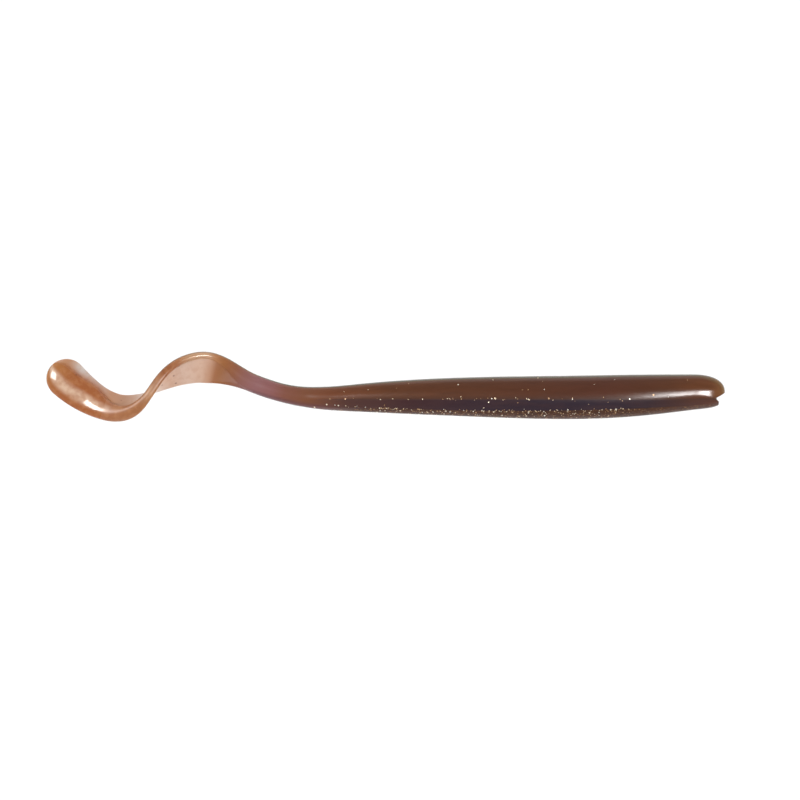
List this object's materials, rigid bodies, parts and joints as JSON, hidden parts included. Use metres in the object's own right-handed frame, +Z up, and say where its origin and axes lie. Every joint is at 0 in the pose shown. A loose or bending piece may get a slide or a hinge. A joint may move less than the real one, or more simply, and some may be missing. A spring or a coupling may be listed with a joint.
{
  "type": "soft plastic fishing worm",
  "caption": "Soft plastic worm lure: round tapered body in laminated pours, mouth notch at the nose, and a twisted ribbon tail with a thick rim and a paddle tip.",
  "frame": {"origin": "middle of the worm's outline, on the surface that it lies on", "axes": "+X to the nose, +Y to the worm's back, +Z up from the surface; the worm lies on its side"},
  "size_m": [0.131, 0.0132, 0.0081],
  "materials": {
    "brown_back": "gloss",
    "purple_vein": "gloss",
    "flaked_belly": "gloss",
    "amber_rim": "gloss",
    "clear_web": "gloss"
  },
  "bodies": {
    "nose": {"nose_back": "brown_back", "nose_vein": "purple_vein", "nose_belly": "flaked_belly"},
    "shoulder": {"shoulder_back": "brown_back", "shoulder_vein": "purple_vein", "shoulder_belly": "flaked_belly"},
    "fore_body": {"fore_body_back": "brown_back", "fore_body_vein": "purple_vein", "fore_body_belly": "flaked_belly"},
    "mid_body": {"mid_body_back": "brown_back", "mid_body_vein": "purple_vein", "mid_body_belly": "flaked_belly"},
    "rear_body": {"rear_body_back": "brown_back", "rear_body_vein": "purple_vein", "rear_body_belly": "flaked_belly"},
    "tail_root": {"tail_root_back": "brown_back", "tail_root_vein": "purple_vein"},
    "tail_neck": {"tail_neck_rim": "amber_rim", "tail_neck_web": "clear_web"},
    "tail_arch": {"tail_arch_rim": "amber_rim", "tail_arch_web": "clear_web"},
    "tail_twist": {"tail_twist_rim": "amber_rim", "tail_twist_web": "clear_web"},
    "tail_dip": {"tail_dip_rim": "amber_rim", "tail_dip_web": "clear_web"},
    "tail_tip": {"tail_tip_rim": "amber_rim", "tail_tip_web": "clear_web"}
  },
  "joints": [
    {"name": "nose_side_bend", "type": "hinge", "parent": "shoulder", "child": "nose", "pos_m": [0.051, -0.0018, 0.00373], "axis": [0, -1, 0], "range_deg": [-24, 24], "stiffness_Nm_per_rad": 0.003},
    {"name": "shoulder_lift_bend", "type": "hinge", "parent": "fore_body", "child": "shoulder", "pos_m": [0.037, -0.00228, 0.00398], "axis": [0, 0, -1], "range_deg": [-24, 24], "stiffness_Nm_per_rad": 0.0043},
    {"name": "fore_side_bend", "type": "hinge", "parent": "mid_body", "child": "fore_body", "pos_m": [0.023, -0.00221, 0.00375], "axis": [0, -1, 0], "range_deg": [-24, 24], "stiffness_Nm_per_rad": 0.0032},
    {"name": "mid_lift_bend", "type": "hinge", "parent": "mid_body", "child": "rear_body", "pos_m": [0.009, -0.00222, 0.00326], "axis": [0, 0, 1], "range_deg": [-24, 24], "stiffness_Nm_per_rad": 0.0019},
    {"name": "rear_side_bend", "type": "hinge", "parent": "rear_body", "child": "tail_root", "pos_m": [-0.005, -0.0023, 0.00257], "axis": [0, 1, 0], "range_deg": [-24, 24], "stiffness_Nm_per_rad": 0.00065},
    {"name": "root_lift_bend", "type": "hinge", "parent": "tail_root", "child": "tail_neck", "pos_m": [-0.0185, -0.00138, 0.00188], "axis": [0, 0, 1], "range_deg": [-24, 24], "stiffness_Nm_per_rad": 0.00025},
    {"name": "neck_curl", "type": "hinge", "parent": "tail_neck", "child": "tail_arch", "pos_m": [-0.03115, 0.00272, 0.00127], "axis": [0.3261, 0.9444, 0.0433], "range_deg": [-30, 30], "stiffness_Nm_per_rad": 0.000025},
    {"name": "arch_curl", "type": "hinge", "parent": "tail_arch", "child": "tail_twist", "pos_m": [-0.04075, 0.00189, 0.00259], "axis": [-0.3177, 0.5583, 0.7664], "range_deg": [-30, 30], "stiffness_Nm_per_rad": 0.000015},
    {"name": "twist_curl", "type": "hinge", "parent": "tail_twist", "child": "tail_dip", "pos_m": [-0.04956, -0.00375, 0.00267], "axis": [0.1847, -0.5659, 0.8035], "range_deg": [-30, 30], "stiffness_Nm_per_rad": 0.00002},
    {"name": "tip_curl", "type": "hinge", "parent": "tail_dip", "child": "tail_tip", "pos_m": [-0.05837, -0.0014, 0.00164], "axis": [-0.5861, -0.806, 0.0832], "range_deg": [-30, 30], "stiffness_Nm_per_rad": 0.00012}
  ]
}
